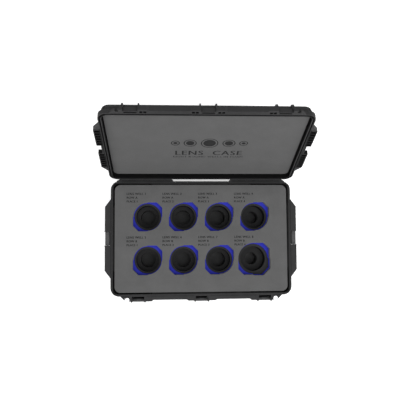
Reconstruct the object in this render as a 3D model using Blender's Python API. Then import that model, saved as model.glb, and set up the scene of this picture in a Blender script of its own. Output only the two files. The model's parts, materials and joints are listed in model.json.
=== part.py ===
"""Hard transport case with a stepped foam insert for eight large round lenses.

Frame: millimetres inside this file, written to the scene in metres.
+X runs along the case's length, -Y is the front (latches), +Y the rear
(hinges), +Z up. The origin is the centre of the flat underside.
The lid is modelled closed and then swung open about its hinge axis.
"""
import math

import bmesh
import bpy
from mathutils import Matrix, Vector

MM = 0.001

# ---------------------------------------------------------------- dimensions
FOAM_HX, FOAM_HY = 365.0, 226.0        # half sizes of the foam insert
FOAM_R = 24.0                          # its corner radius
BASE_IN_HX, BASE_IN_HY = 370.5, 231.5  # inside of the tub
LID_IN_HX, LID_IN_HY = 368.0, 229.5    # inside of the lid
WALL = 4.0
RIM_HX, RIM_HY = 382.0, 242.0          # rim flange at the parting plane
RIM_R = 36.0
SIDE_VALANCE = 406.0                   # half width over the end valances
FRONT_VALANCE = 257.0                  # front edge between the latches
FRONT_BULGE = 263.0                    # front edge at the latches
Z_PART = 234.0                         # parting plane
PART_GAP = 0.3                         # half the gap between the two rims
Z_FOAM = 232.0                         # top of the foam insert
Z_FLOOR = 9.0                          # inside floor
Z_UNDER = 4.0                          # underside between the feet
FLANGE_T = 16.0                        # depth of the base flange
LID_FLANGE_T = 18.0                    # depth of the lid flange
LID_TOP = Z_PART + 50.0                # outside of the closed lid
Z_PAD = Z_PART + 17.0                  # face of the lid pad, closed
GAP = 0.3                              # clearance between touching pieces

HINGE_Y, HINGE_Z = 253.5, 246.0        # lid hinge axis, along X
OPEN_DEG = 110.7                       # lid opening at its stop
HINGE_X0, HINGE_X1 = 128.0, 338.0      # each wide hinge
KNUCKLES = 7
KNUCKLE_R = 9.0
HINGE_PIN_R = 4.0

LATCH_X = 267.5                        # outer front latches
LATCH_HALF = 25.4                      # half width of a front latch
RIB_IN, RIB_T = 26.0, 5.0              # rib pair around a front latch
LATCH_AXIS_Y, LATCH_AXIS_Z = -258.0, 200.0
SIDE_LATCH_HALF = 27.8
SIDE_RIB_IN = 28.4
SIDE_AXIS_X, SIDE_AXIS_Z = 395.0, 219.0
LATCH_PIN_R = 3.0

HANDLE_AXIS_X, HANDLE_AXIS_Z = 389.0, 160.0
HANDLE_HALF = 60.0                     # arm centre from the middle
HANDLE_DROP = 60.0
HANDLE_R = 7.0

EYE_X, EYE_Y, EYE_R = 313.0, -256.5, 6.5   # padlock eyes
EYELET_R = 10.0                        # outside of the base's steel eyelets

WELL_PITCH_X, WELL_PITCH_Y = 152.0, 184.0
TOP_T, ACCENT_T = 30.0, 12.0           # grey top layer, blue layer
UPPER_CORE_T = 53.0                    # dark layer that takes the barrel
LOWER_CORE_Z = 57.0                    # floor of the deepest bore
R_TOP, R_ACCENT, R_BARREL, R_MOUNT = 59.5, 57.0, 49.0, 33.0
LOBE_HALF, LOBE_CHAMFER = 62.0, 23.5   # finger notches, NE and SW

# ---------------------------------------------------------------- scene setup
for ob in list(bpy.data.objects):
    bpy.data.objects.remove(ob, do_unlink=True)

parts = bpy.data.collections.new("lens_case")
cutters = bpy.data.collections.new("lens_case_cutters")
bpy.context.scene.collection.children.link(parts)
bpy.context.scene.collection.children.link(cutters)


def material(name, colour, roughness, metallic=0.0):
    mat = bpy.data.materials.new(name)
    mat.use_nodes = True
    bsdf = mat.node_tree.nodes["Principled BSDF"]
    bsdf.inputs["Base Color"].default_value = (*colour, 1.0)
    bsdf.inputs["Roughness"].default_value = roughness
    bsdf.inputs["Metallic"].default_value = metallic
    mat.diffuse_color = (*colour, 1.0)
    return mat


SHELL = (0.030, 0.030, 0.031)
LATCH = (0.085, 0.085, 0.088)
FOAM_GREY = (0.120, 0.120, 0.121)
FOAM_BLUE = (0.030, 0.036, 0.310)
FOAM_DARK = (0.018, 0.018, 0.019)
RUBBER = (0.012, 0.012, 0.012)
STEEL = (0.45, 0.45, 0.46)

# ---------------------------------------------------------------- helpers


def as_object(name, bm):
    bmesh.ops.recalc_face_normals(bm, faces=bm.faces[:])
    me = bpy.data.meshes.new(name)
    bm.to_mesh(me)
    bm.free()
    ob = bpy.data.objects.new(name, me)
    cutters.objects.link(ob)
    return ob


def box(x0, x1, y0, y1, z0, z1):
    """Axis-aligned box as a bmesh, in metres."""
    bm = bmesh.new()
    bmesh.ops.create_cube(bm, size=1.0)
    size = Vector(((x1 - x0), (y1 - y0), (z1 - z0))) * MM
    mid = Vector(((x0 + x1), (y0 + y1), (z0 + z1))) * (0.5 * MM)
    for v in bm.verts:
        v.co = Vector((v.co.x * size.x, v.co.y * size.y, v.co.z * size.z)) + mid
    return bm


def cylinder(centre, r, length, axis="Z", segments=32):
    """Round bar centred on a point, in metres."""
    bm = bmesh.new()
    bmesh.ops.create_cone(bm, cap_ends=True, segments=segments,
                          radius1=r * MM, radius2=r * MM, depth=length * MM)
    turn = {"Z": Matrix.Identity(3),
            "X": Matrix.Rotation(math.radians(90), 3, "Y"),
            "Y": Matrix.Rotation(math.radians(90), 3, "X")}[axis]
    move = Vector(centre) * MM
    for v in bm.verts:
        v.co = turn @ v.co + move
    return bm


def bevel_where(bm, test, offset, segments=1):
    """Bevel the edges whose two ends and direction pass a test."""
    picked = [e for e in bm.edges if test(e)]
    bmesh.ops.bevel(bm, geom=picked, offset=offset * MM, segments=segments,
                    affect="EDGES", profile=0.5, clamp_overlap=True)
    return bm


def along(e, axis):
    d = e.verts[1].co - e.verts[0].co
    return abs(d[axis]) > 0.999 * d.length


def rounded_box(hx, hy, z0, z1, r, segments=6, cx=0.0, cy=0.0):
    bm = box(cx - hx, cx + hx, cy - hy, cy + hy, z0, z1)
    return bevel_where(bm, lambda e: along(e, 2), r, segments)


def join(bms):
    """Several separate primitives as one mesh; they must not touch."""
    out = bmesh.new()
    for bm in bms:
        me = bpy.data.meshes.new("tmp")
        bm.to_mesh(me)
        bm.free()
        out.from_mesh(me)
        bpy.data.meshes.remove(me)
    return out


def boolean(ob, bm, operation):
    """Join or cut an object with a bmesh tool."""
    tool = as_object("tool", bm)
    tool.hide_render = True
    tool.display_type = "WIRE"
    mod = ob.modifiers.new("shape", "BOOLEAN")
    mod.operation = operation
    mod.solver = "EXACT"
    mod.object = tool
    graph = bpy.context.evaluated_depsgraph_get()
    graph.update()
    me = bpy.data.meshes.new_from_object(ob.evaluated_get(graph))
    ob.modifiers.clear()
    old = ob.data
    ob.data = me
    bpy.data.meshes.remove(old)
    bpy.data.objects.remove(tool, do_unlink=True)
    return ob


def union(ob, bm):
    return boolean(ob, bm, "UNION")


def cut(ob, bm):
    return boolean(ob, bm, "DIFFERENCE")


def clean(ob):
    """Merge coincident points and flatten needless edges."""
    bm = bmesh.new()
    bm.from_mesh(ob.data)
    bmesh.ops.remove_doubles(bm, verts=bm.verts[:], dist=0.00002)
    bmesh.ops.dissolve_limit(bm, angle_limit=math.radians(0.6),
                             verts=bm.verts[:], edges=bm.edges[:])
    bmesh.ops.recalc_face_normals(bm, faces=bm.faces[:])
    bm.to_mesh(ob.data)
    bm.free()
    return ob


def outline_prism(name, points, z0, z1):
    """Flat outline (x, y in mm) thickened from z0 to z1."""
    cu = bpy.data.curves.new(name, "CURVE")
    cu.dimensions = "2D"
    cu.fill_mode = "BOTH"
    cu.extrude = 0.5 * (z1 - z0)
    sp = cu.splines.new("POLY")
    sp.points.add(len(points) - 1)
    for p, (x, y) in zip(sp.points, points):
        p.co = (x, y, 0.0, 1.0)
    sp.use_cyclic_u = True
    tmp = bpy.data.objects.new(name, cu)
    cutters.objects.link(tmp)
    graph = bpy.context.evaluated_depsgraph_get()
    graph.update()
    me = bpy.data.meshes.new_from_object(tmp.evaluated_get(graph))
    bpy.data.objects.remove(tmp, do_unlink=True)
    bm = bmesh.new()
    bm.from_mesh(me)
    bpy.data.meshes.remove(me)
    bmesh.ops.remove_doubles(bm, verts=bm.verts[:], dist=0.01)
    bmesh.ops.dissolve_limit(bm, angle_limit=math.radians(0.5),
                             verts=bm.verts[:], edges=bm.edges[:])
    for v in bm.verts:
        v.co = Vector((v.co.x, v.co.y, v.co.z + 0.5 * (z0 + z1))) * MM
    bmesh.ops.recalc_face_normals(bm, faces=bm.faces[:])
    return bm


def profile_plate(points, x0, x1):
    """Plate whose outline is given in (y, z), thick from x0 to x1."""
    bm = outline_prism("plate", points, x0, x1)
    # local x -> Y, local y -> Z, local z -> X
    turn = Matrix(((0, 0, 1), (1, 0, 0), (0, 1, 0)))
    for v in bm.verts:
        v.co = turn @ v.co
    bmesh.ops.recalc_face_normals(bm, faces=bm.faces[:])
    return bm


def profile_plate_y(points, y0, y1):
    """Plate whose outline is given in (x, z), thick from y0 to y1."""
    bm = outline_prism("plate", points, y0, y1)
    for v in bm.verts:
        v.co = Vector((v.co.x, v.co.z, v.co.y))
    bmesh.ops.recalc_face_normals(bm, faces=bm.faces[:])
    return bm


def mirrored_x(bm):
    for v in bm.verts:
        v.co.x = -v.co.x
    bmesh.ops.recalc_face_normals(bm, faces=bm.faces[:])
    return bm


def arc(cx, cy, r, a0, a1, n):
    return [(cx + r * math.cos(math.radians(a0 + (a1 - a0) * i / n)),
             cy + r * math.sin(math.radians(a0 + (a1 - a0) * i / n)))
            for i in range(n + 1)]


def finish(ob, name, mat, smooth=30.0, origin=None):
    """Name a piece, give it its material and move it to the parts."""
    ob.name = name
    ob.data.name = name
    ob.data.materials.clear()
    ob.data.materials.append(mat)
    cutters.objects.unlink(ob)
    parts.objects.link(ob)
    ob.data.shade_smooth()
    ob.data.set_sharp_from_angle(angle=math.radians(smooth))
    if origin is not None:
        o = Vector(origin) * MM
        ob.data.transform(Matrix.Translation(-o))
        ob.location = o
    return ob


LID_SWING = (Matrix.Translation(Vector((0, HINGE_Y, HINGE_Z)) * MM)
             @ Matrix.Rotation(math.radians(-OPEN_DEG), 4, "X")
             @ Matrix.Translation(Vector((0, -HINGE_Y, -HINGE_Z)) * MM))


def swing_open(ob):
    """Turn a piece of the closed lid to its open rest position."""
    ob.data.transform(LID_SWING)
    return ob


# ---------------------------------------------------------------- outline
def flange_outline():
    """Rim and valances seen from above, right half then mirrored."""
    half = [(56.0, -FRONT_BULGE + 1.0), (65.0, -FRONT_VALANCE),
            (203.0, -FRONT_VALANCE), (211.0, -FRONT_BULGE),
            (307.0, -FRONT_BULGE), (321.0, -260.5), (327.0, -255.6),
            (341.0, -RIM_HY + 0.4)]
    half += arc(RIM_HX - RIM_R, -RIM_HY + RIM_R, RIM_R, -84, 0, 5)
    half += [(RIM_HX, -166.0), (SIDE_VALANCE, -134.0), (SIDE_VALANCE, 134.0),
             (RIM_HX, 166.0)]
    half += arc(RIM_HX - RIM_R, RIM_HY - RIM_R, RIM_R, 0, 90, 6)
    return half + [(-x, y) for x, y in reversed(half)]


OUTLINE = flange_outline()
LATCHES = (("left", -LATCH_X), ("centre", 0.0), ("right", LATCH_X))

# ---------------------------------------------------------------- base shell
z_top = Z_PART - PART_GAP
z_flange = z_top - FLANGE_T
base = as_object("base_shell", bevel_where(
    rounded_box(BASE_IN_HX + WALL, BASE_IN_HY + WALL, Z_UNDER, z_flange + 4.0, 28.0, 4),
    lambda e: max(v.co.z for v in e.verts) < (Z_UNDER + 0.1) * MM, 9.0, 2))
# corner posts that take the knocks
posts = []
for sx in (-1, 1):
    for sy in (-1, 1):
        bm = rounded_box(RIM_HX - 2.5, RIM_HY - 2.5, 16.0, 192.0, 33.0, 4)
        ob = as_object("post", bm)
        cut(ob, box(-500, 500, -300 if sy > 0 else -168.0,
                    168.0 if sy > 0 else 300, 0, 300))
        cut(ob, box(-500 if sx > 0 else -305.0, 305.0 if sx > 0 else 500,
                    -300, 300, 0, 300))
        bm = bmesh.new()
        bm.from_mesh(ob.data)
        bpy.data.objects.remove(ob, do_unlink=True)
        posts.append(bm)
union(base, join(posts))
union(base, outline_prism("flange", OUTLINE, z_flange, z_top))

# rib pairs that carry the front latches, and the ribs of the end latches
RIB_FRONT = [(-233.0, 226.0), (-268.0, 226.0), (-268.0, 190.0), (-262.0, 178.0),
             (-233.0, 146.0)]
for _, cx in LATCHES:
    union(base, join([profile_plate(RIB_FRONT, cx - RIB_IN - RIB_T, cx - RIB_IN),
                      profile_plate(RIB_FRONT, cx + RIB_IN, cx + RIB_IN + RIB_T)]))
# sloping floor of each front latch's pocket
POCKET_FLOOR = [(-233.0, 147.0), (-253.1, 169.3), (-253.1, 173.5), (-233.0, 152.0)]
for _, cx in LATCHES:
    union(base, profile_plate(POCKET_FLOOR, cx - RIB_IN - 1.5, cx + RIB_IN + 1.5))
RIB_SIDE = [(372.0, 230.0), (407.5, 230.0), (407.5, 210.0), (400.0, 200.0),
            (372.0, 182.0)]
for sx in (-1, 1):
    pair = [profile_plate_y([(sx * x, z) for x, z in RIB_SIDE], y0, y1)
            for y0, y1 in ((-SIDE_RIB_IN - RIB_T, -SIDE_RIB_IN),
                           (SIDE_RIB_IN, SIDE_RIB_IN + RIB_T))]
    union(base, join(pair))

# handle bosses on the end walls
for sx in (-1, 1):
    for sy in (-1, 1):
        bm = box(min(sx * 372, sx * 398), max(sx * 372, sx * 398),
                 min(sy * 68, sy * 80), max(sy * 68, sy * 80), 150, 170)
        bevel_where(bm, lambda e, s=sx: along(e, 1) and
                    all(s * v.co.x > 397 * MM for v in e.verts), 6.0, 2)
        union(base, bm)

# vertical stiffening ribs on the walls
ribs = []
for x in (-170.0, -130.0, 130.0, 170.0):
    ribs.append(box(x - 4, x + 4, -(BASE_IN_HY + WALL + 3.0), -(BASE_IN_HY + 1.0), 30, 206))
for x in (-330.0 + 25, -235.0, -150.0, -75.0, 0.0, 75.0, 150.0, 235.0, 305.0):
    ribs.append(box(x - 4, x + 4, BASE_IN_HY + 1.0, BASE_IN_HY + WALL + 3.0, 30, 206))
for sx in (-1, 1):
    for y in (-125.0, -100.0, 100.0, 125.0):
        a, b = sx * (BASE_IN_HX + 1.0), sx * (BASE_IN_HX + WALL + 3.0)
        ribs.append(box(min(a, b), max(a, b), y - 4, y + 4, 30, 206))
union(base, join(ribs))

# feet: a raised middle panel and four corner pads, flat underneath
feet = [box(-150, 150, -90, 90, 0, Z_UNDER + 1.0)]
for sx in (-1, 1):
    for sy in (-1, 1):
        feet.append(box(min(sx * 260, sx * 340), max(sx * 260, sx * 340),
                        min(sy * 150, sy * 200), max(sy * 150, sy * 200),
                        0, Z_UNDER + 1.0))
for bm in feet:
    bevel_where(bm, lambda e: along(e, 2), 12.0, 3)
union(base, join(feet))

# hinge blocks and knuckles of the base
pitch = (HINGE_X1 - HINGE_X0) / KNUCKLES
BASE_KNUCKLE = ([(232.0, 214.0), (262.0, 226.0), (262.5, HINGE_Z)]
                + arc(HINGE_Y, HINGE_Z, KNUCKLE_R, 0, 180, 6)
                + [(HINGE_Y - KNUCKLE_R, Z_PART - 0.3), (232.0, Z_PART - 0.3)])
HINGE_SHELF = [(232.0, 214.6), (261.7, 226.4), (262.1, HINGE_Z - KNUCKLE_R - 0.9),
               (244.0, HINGE_Z - KNUCKLE_R - 0.9), (243.0, Z_PART - 0.6), (232.0, Z_PART - 0.6)]
LID_KNUCKLE = (arc(HINGE_Y, HINGE_Z, KNUCKLE_R, -90, 90, 6)
               + [(231.0, HINGE_Z + KNUCKLE_R), (231.0, HINGE_Z - KNUCKLE_R)])
for sx in (-1, 1):
    blocks = []
    for k in range(0, KNUCKLES, 2):
        a = sx * (HINGE_X0 + pitch * k + 0.5)
        b = sx * (HINGE_X0 + pitch * (k + 1) - 0.5)
        blocks.append(profile_plate(BASE_KNUCKLE[:], min(a, b), max(a, b)))
    union(base, join(blocks))
    # shelf under the lid's knuckles, so that the hinge is closed from below
    a, b = sx * (HINGE_X0 + 1.0), sx * (HINGE_X1 - 1.0)
    union(base, profile_plate(HINGE_SHELF[:], min(a, b), max(a, b)))
    # sloping shoulder outside each hinge
    a, b = sx * (HINGE_X1 - 1.5), sx * (HINGE_X1 + 20.0)
    union(base, outline_prism("shoulder", [(a, 236.0), (a, 256.0), (sx * (HINGE_X1 + 7.0), 250.0),
                                           (b, 243.0), (b, 236.0)], 222.0, Z_PART - 0.3))
    # small slanted shoulder at each hinge's inner end
    a, b = sx * (HINGE_X0 + 1.5), sx * (HINGE_X0 - 9.5)
    union(base, outline_prism("shoulder", [(a, 236.0), (a, 254.0), (sx * (HINGE_X0 - 0.5), 254.0),
                                           (b, 244.0), (b, 236.0)], 222.0, Z_PART - 0.3))

# inside of the tub
cut(base, rounded_box(BASE_IN_HX, BASE_IN_HY, Z_FLOOR, 300, 24.0, 5))
# sealing tongue round the opening
tongue = as_object("tongue", rounded_box(376.6, 236.6, z_top - 2.0, z_top + 3.2, 30.0, 6))
cut(tongue, rounded_box(373.6, 233.6, 200, 300, 27.0, 6))
bm = bmesh.new()
bm.from_mesh(tongue.data)
bpy.data.objects.remove(tongue, do_unlink=True)
union(base, bm)
# ledges that close the gap beside the middle of each wall
ledge = [box(-209, 209, -(BASE_IN_HY + 1), -(FOAM_HY + 0.5), 216, 229),
         box(-209, 209, FOAM_HY + 0.5, BASE_IN_HY + 1, 216, 229)]
for sx in (-1, 1):
    a, b = sx * (FOAM_HX + 0.5), sx * (BASE_IN_HX + 1)
    ledge.append(box(min(a, b), max(a, b), -134, 134, 216, 229))
union(base, join(ledge))

# slots in the valances where the latches stand
slots = [box(cx - RIB_IN, cx + RIB_IN, -290, -RIM_HY - 1.0, 190, 260)
         for _, cx in LATCHES]
slots += [box(min(sx * 383, sx * 430), max(sx * 383, sx * 430),
              -SIDE_RIB_IN, SIDE_RIB_IN, 190, 260) for sx in (-1, 1)]
cut(base, join(slots))

# cells under the valances, so that they are webs and not blocks


def cells(lo, hi, n, web=3.0):
    """Equal cells between lo and hi with webs between them."""
    w = (hi - lo - web * (n - 1)) / n
    return [(lo + i * (w + web), lo + i * (w + web) + w) for i in range(n)]


under = []
for sx in (-1, 1):
    for y0, y1 in cells(37.0, 131.0, 5) + [(-b, -a) for a, b in cells(37.0, 131.0, 5)]:
        a, b = sx * 378.5, sx * 403.0
        under.append(box(min(a, b), max(a, b), y0, y1, z_flange - 2, z_top - 4))
    for x0, x1 in cells(66.0, 202.0, 6):
        a, b = sx * x0, sx * x1
        under.append(box(min(a, b), max(a, b), -FRONT_VALANCE + 3, -240.0,
                         z_flange - 2, z_top - 4))
cut(base, join(under))
# groove that sets the rim off from the end valances and the front valance
groove = []
for sx in (-1, 1):
    a, b = sx * 381.0, sx * 383.0
    for y0, y1 in ((-150, -34.5), (34.5, 150)):
        groove.append(box(min(a, b), max(a, b), y0, y1, z_top - 2, z_top + 2))
    for x0, x1 in ((34.0, 230.0), (304.5, 335.0)):
        a, b = sx * x0, sx * x1
        groove.append(box(min(a, b), max(a, b), -243.0, -241.0, z_top - 2, z_top + 2))
cut(base, join(groove))

# bores: latch pins, handle pins, hinge pins, padlock eyes, vent seat
bores = []
for _, cx in LATCHES:
    bores.append(cylinder((cx, LATCH_AXIS_Y, LATCH_AXIS_Z), LATCH_PIN_R + GAP,
                          2 * (RIB_IN + RIB_T) + 4, "X", 12))
for sx in (-1, 1):
    bores.append(cylinder((sx * SIDE_AXIS_X, 0, SIDE_AXIS_Z), LATCH_PIN_R + GAP,
                          2 * (SIDE_RIB_IN + RIB_T) + 4, "Y", 12))
    bores.append(cylinder((sx * HANDLE_AXIS_X, 0, HANDLE_AXIS_Z), LATCH_PIN_R + GAP,
                          170, "Y", 12))
    bores.append(cylinder((sx * 0.5 * (HINGE_X0 + HINGE_X1), HINGE_Y, HINGE_Z),
                          HINGE_PIN_R + GAP, HINGE_X1 - HINGE_X0 + 10, "X", 12))
    bores.append(cylinder((sx * EYE_X, EYE_Y, Z_PART), EYELET_R + GAP, 60, "Z", 24))
bores.append(cylinder((150.0, -(BASE_IN_HY + 2), 120.0), 8.0 + GAP, 24, "Y", 24))
cut(base, join(bores))
# thin tab around each padlock eye
cut(base, join([box(min(sx * 304, sx * 345), max(sx * 304, sx * 345), -275, -243.0,
                    200, z_top - 8.0) for sx in (-1, 1)]))
clean(base)
finish(base, "base_shell", material("moulded_shell", SHELL, 0.55))

# ---------------------------------------------------------------- lid shell
lid_z0 = Z_PART + PART_GAP
LID_OUT_HX, LID_OUT_HY = LID_IN_HX + WALL, LID_IN_HY + WALL
bm = rounded_box(LID_OUT_HX, LID_OUT_HY, lid_z0 + 4.0, LID_TOP, 28.0, 5)
bevel_where(bm, lambda e: min(v.co.z for v in e.verts) > (LID_TOP - 0.1) * MM, 17.0, 3)
lid = as_object("lid_shell", bm)
union(lid, outline_prism("lid_flange", OUTLINE, lid_z0, lid_z0 + LID_FLANGE_T))
# rib pairs above the latches
LID_RIB = [(-232.0, 250.0), (-259.0, 250.0), (-259.0, 261.0), (-255.5, 267.0),
           (-249.5, 272.0), (-241.0, 278.0), (-232.5, 283.5), (-222.0, 286.8),
           (-206.0, 287.0), (-206.0, 270.0), (-232.0, 262.0)]
for _, cx in LATCHES:
    union(lid, join([profile_plate(LID_RIB, cx - RIB_IN - 4.0, cx - RIB_IN),
                     profile_plate(LID_RIB, cx + RIB_IN, cx + RIB_IN + 4.0)]))
# stiffening fins on the end walls of the lid
fins = []
for sx in (-1, 1):
    for y in (-120.0, -60.0, 60.0, 120.0, 196.0):
        fins.append(profile_plate_y([(sx * 370.0, 250.0), (sx * 392.0, 250.0) if y < 190
                                     else (sx * 381.0, 250.0),
                                     (sx * 371.0, 266.0), (sx * 370.0, 266.0)],
                                    y - 2, y + 2))
union(lid, join(fins))
# knuckles of the lid, and the heels that stop it
STOP = [(231.0, HINGE_Z + 10.6), (HINGE_Y + 1.5, HINGE_Z + 10.6),
        (HINGE_Y + 1.5, HINGE_Z + 16.0), (231.0, HINGE_Z + 20.0)]
for sx in (-1, 1):
    blocks = []
    for k in range(1, KNUCKLES, 2):
        a = sx * (HINGE_X0 + pitch * k + 0.5)
        b = sx * (HINGE_X0 + pitch * (k + 1) - 0.5)
        blocks.append(profile_plate(LID_KNUCKLE[:], min(a, b), max(a, b)))
    union(lid, join(blocks))
    heels = []
    for k in (2, 4):
        a = sx * (HINGE_X0 + pitch * k + 6.0)
        b = sx * (HINGE_X0 + pitch * (k + 1) - 6.0)
        heels.append(profile_plate(STOP, min(a, b), max(a, b)))
    union(lid, join(heels))
# stacking ribs on top
top_ribs = [box(-250, 250, y - 5, y + 5, LID_TOP - 1.0, LID_TOP + 3.0)
            for y in (-150.0, -100.0, 100.0, 150.0)]
for bm in top_ribs:
    bevel_where(bm, lambda e: along(e, 2), 4.5, 3)
union(lid, join(top_ribs))
# inside
bm = rounded_box(LID_IN_HX, LID_IN_HY, 200.0, LID_TOP - WALL, 24.0, 5)
bevel_where(bm, lambda e: min(v.co.z for v in e.verts) > (LID_TOP - WALL - 0.1) * MM,
            15.0, 3)
cut(lid, bm)
# seal groove
ring = as_object("ring", rounded_box(378.0, 238.0, 200.0, lid_z0 + 6.0, 31.5, 6))
cut(ring, rounded_box(372.2, 232.2, 190.0, 300.0, 25.7, 6))
bm = bmesh.new()
bm.from_mesh(ring.data)
bpy.data.objects.remove(ring, do_unlink=True)
cut(lid, bm)
# slots for the latches: the strip left in each is the keeper
slots = [box(cx - RIB_IN, cx + RIB_IN, -290, -253.2, 200, 300) for _, cx in LATCHES]
slots += [box(min(sx * 389.6, sx * 430), max(sx * 389.6, sx * 430),
              -SIDE_RIB_IN, SIDE_RIB_IN, 200, 300) for sx in (-1, 1)]
cut(lid, join(slots))
# ribbed pockets in the valances, open towards the base
pockets = []
for sx in (-1, 1):
    for y0, y1 in cells(33.0, 132.0, 6) + [(-b, -a) for a, b in cells(33.0, 132.0, 6)]:
        a, b = sx * 384.5, sx * 403.0
        pockets.append(box(min(a, b), max(a, b), y0, y1, 200, lid_z0 + 13))
    for x0, x1 in cells(33.5, 57.0, 2) + cells(212.0, 235.5, 2):
        a, b = sx * x0, sx * x1
        pockets.append(box(min(a, b), max(a, b), -FRONT_VALANCE + 3.5, -243.5,
                           200, lid_z0 + 13))
for _, cx in LATCHES:
    pockets.append(box(cx - 22, cx + 22, -250.0, -243.5, 200, lid_z0 + 13))
cut(lid, join(pockets))
# groove that sets the lid's rim off from its end valances
cut(lid, join([box(min(sx * 380.6, sx * 382.8), max(sx * 380.6, sx * 382.8), y0, y1,
                   200, lid_z0 + 5.0) for sx in (-1, 1)
               for y0, y1 in ((-140.0, -33.0), (33.0, 140.0))]))
bores = []
for sx in (-1, 1):
    bores.append(cylinder((sx * 0.5 * (HINGE_X0 + HINGE_X1), HINGE_Y, HINGE_Z),
                          HINGE_PIN_R + GAP, HINGE_X1 - HINGE_X0 + 10, "X", 12))
    bores.append(cylinder((sx * EYE_X, EYE_Y, Z_PART), EYE_R, 60, "Z", 24))
cut(lid, join(bores))
cut(lid, join([box(min(sx * 304, sx * 345), max(sx * 304, sx * 345), -275, -243.0,
                   lid_z0 + 8.0, 300) for sx in (-1, 1)]))
clean(lid)
swing_open(lid)
finish(lid, "lid_shell", material("moulded_lid", SHELL, 0.55),
       origin=(0, HINGE_Y, HINGE_Z))

# ---------------------------------------------------------------- lid contents
ring = as_object("lid_seal", rounded_box(377.4, 237.4, lid_z0 + 3.2, lid_z0 + 5.7,
                                         31.0, 6))
cut(ring, rounded_box(372.8, 232.8, 190.0, 300.0, 26.3, 6))
clean(ring)
swing_open(ring)
finish(ring, "lid_seal", material("seal_rubber", RUBBER, 0.7),
       origin=(0, HINGE_Y, HINGE_Z))

bm = rounded_box(FOAM_HX, FOAM_HY, Z_PAD, LID_TOP - WALL - 0.3, 22.0, 5)
bevel_where(bm, lambda e: min(v.co.z for v in e.verts) > (LID_TOP - WALL - 0.4) * MM,
            15.0, 3)
pad = as_object("lid_foam_pad", bm)
swing_open(pad)
finish(pad, "lid_foam_pad", material("lid_foam_grey", FOAM_GREY, 0.95),
       origin=(0, HINGE_Y, HINGE_Z))

# ---------------------------------------------------------------- foam insert
WELLS = []
for row, y in enumerate((0.5 * WELL_PITCH_Y, -0.5 * WELL_PITCH_Y)):
    for col in range(4):
        x = (col - 1.5) * WELL_PITCH_X
        wide = row == 1 and col == 3
        # the last well is cut for a wider lens and sits a little off the grid
        WELLS.append((x - 5.0 if wide else x, y + 2.8 if wide else y, wide, col == 3))
WIDE_TOP, WIDE_ACCENT, WIDE_LOBE = 67.5, 64.0, 67.5


z0 = Z_FOAM - TOP_T
top = as_object("foam_top", rounded_box(FOAM_HX, FOAM_HY, z0, Z_FOAM, FOAM_R, 4))
cut(top, join([cylinder((x, y, Z_FOAM), WIDE_TOP if wide else R_TOP, 100, "Z", 32)
               for x, y, wide, _ in WELLS]))


def lobe(x, y, sx, sy, h, chamfer, z0, z1):
    """Square quarter beside a well with its far corner cut off."""
    bm = box(min(x, x + sx * h), max(x, x + sx * h),
             min(y, y + sy * h), max(y, y + sy * h), z0, z1)
    fx, fy = (x + sx * h) * MM, (y + sy * h) * MM
    return bevel_where(bm, lambda e: along(e, 2) and all(
        abs(v.co.x - fx) < 1e-4 and abs(v.co.y - fy) < 1e-4 for v in e.verts),
        chamfer, 1)


for sx, sy in ((1, 1), (-1, -1)):
    cut(top, join([lobe(x, y, sx, sy, WIDE_LOBE if wide else LOBE_HALF, LOBE_CHAMFER,
                        z0 - 10, Z_FOAM + 10) for x, y, wide, _ in WELLS]))
# the wide well has a third notch that goes on down through the blue layer
x, y, _, _ = WELLS[-1]
cut(top, lobe(x, y, 1, -1, WIDE_LOBE + 3.0, 30.0, z0 - 10, Z_FOAM + 10))
clean(top)
finish(top, "foam_top_layer", material("foam_grey", FOAM_GREY, 0.95))

z1 = z0 - GAP
z0 = Z_FOAM - TOP_T - ACCENT_T
accent = as_object("foam_accent", rounded_box(FOAM_HX - 8.0, FOAM_HY - 8.0, z0, z1,
                                             FOAM_R - 8.0, 4))
cut(accent, join([cylinder((x, y, z0), WIDE_ACCENT if wide else R_ACCENT, 100, "Z", 28)
                  for x, y, wide, _ in WELLS]))
x, y, _, _ = WELLS[-1]
cut(accent, lobe(x, y, 1, -1, WIDE_LOBE, 30.0, z0 - 10, z1 + 10))
clean(accent)
finish(accent, "foam_accent_layer", material("foam_blue", FOAM_BLUE, 0.95))

z1 = z0 - GAP
z0 = z1 - UPPER_CORE_T
core = as_object("foam_core_upper", rounded_box(FOAM_HX, FOAM_HY, z0, z1, FOAM_R, 4))
cut(core, join([cylinder((x, y, z0), R_BARREL + (4.0 if wide else 0.0), 150, "Z", 24)
                for x, y, wide, _ in WELLS]))
clean(core)
finish(core, "foam_core_upper", material("foam_dark_upper", FOAM_DARK, 0.95))

z1 = z0 - GAP
core = as_object("foam_core_lower",
                 rounded_box(FOAM_HX, FOAM_HY, LOWER_CORE_Z, z1, FOAM_R, 4))
cut(core, join([cylinder((x, y, z1), R_MOUNT - (6.0 if deep else 0.0), 220, "Z", 20)
                for x, y, _, deep in WELLS]))
clean(core)
finish(core, "foam_core_lower", material("foam_dark_lower", FOAM_DARK, 0.95))

floor = as_object("foam_floor", rounded_box(FOAM_HX, FOAM_HY, Z_FLOOR + GAP,
                                            LOWER_CORE_Z - GAP, FOAM_R, 4))
finish(floor, "foam_floor_pad", material("foam_floor", FOAM_DARK, 0.95))

# ---------------------------------------------------------------- hinge pins
for side, sx in (("left", -1), ("right", 1)):
    pin = as_object("pin", cylinder((sx * 0.5 * (HINGE_X0 + HINGE_X1), HINGE_Y, HINGE_Z),
                                    HINGE_PIN_R, HINGE_X1 - HINGE_X0 - 1.0, "X", 16))
    finish(pin, "hinge_pin_" + side, material("steel_hinge_" + side, STEEL, 0.35, 1.0),
           origin=(sx * 0.5 * (HINGE_X0 + HINGE_X1), HINGE_Y, HINGE_Z))

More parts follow.
